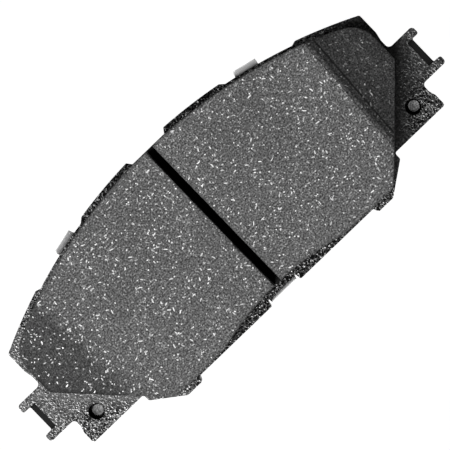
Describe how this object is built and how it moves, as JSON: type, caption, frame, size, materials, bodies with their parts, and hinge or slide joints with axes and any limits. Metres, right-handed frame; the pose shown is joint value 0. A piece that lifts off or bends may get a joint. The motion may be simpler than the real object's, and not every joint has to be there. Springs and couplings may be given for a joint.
{
  "type": "disc brake pad",
  "caption": "Front disc brake pad: chamfered, slotted friction lining on a steel backing plate with forked ears, with clip-on damping and cover shims.",
  "frame": {"origin": "middle of the pad's outline, on the back face of the cover shim", "axes": "+X along the pad's length, +Y towards the rim of the disc, +Z out of the friction face towards the disc"},
  "size_m": [0.155, 0.0594, 0.0181],
  "materials": {
    "powder_coated_steel": "coarse black powder coat",
    "adhesive": "cured phenolic film",
    "underlayer": "pressed insulating composite",
    "friction_composite": "ground friction composite with bright fibres",
    "shim_steel": "zinc-plated sheet",
    "shim_rubber": "matt nitrile rubber",
    "stainless_steel": "rolled stainless sheet"
  },
  "bodies": {
    "pad": {"backing_plate": "powder_coated_steel", "bond_film": "adhesive", "underlayer": "underlayer", "left_lining": "friction_composite", "right_lining": "friction_composite"},
    "damping_shim": {"damping_shim_core": "shim_steel", "damping_shim_front_rubber": "shim_rubber", "damping_shim_back_rubber": "shim_rubber"},
    "outer_cover": {"cover_shim": "stainless_steel"}
  },
  "joints": [
    {"name": "damping_shim_slide", "type": "slide", "parent": "pad", "child": "damping_shim", "axis": [0, 0, -1], "range_m": [0, 0.008]},
    {"name": "cover_shim_slide", "type": "slide", "parent": "damping_shim", "child": "outer_cover", "axis": [0, 0, -1], "range_m": [0, 0.008]}
  ]
}
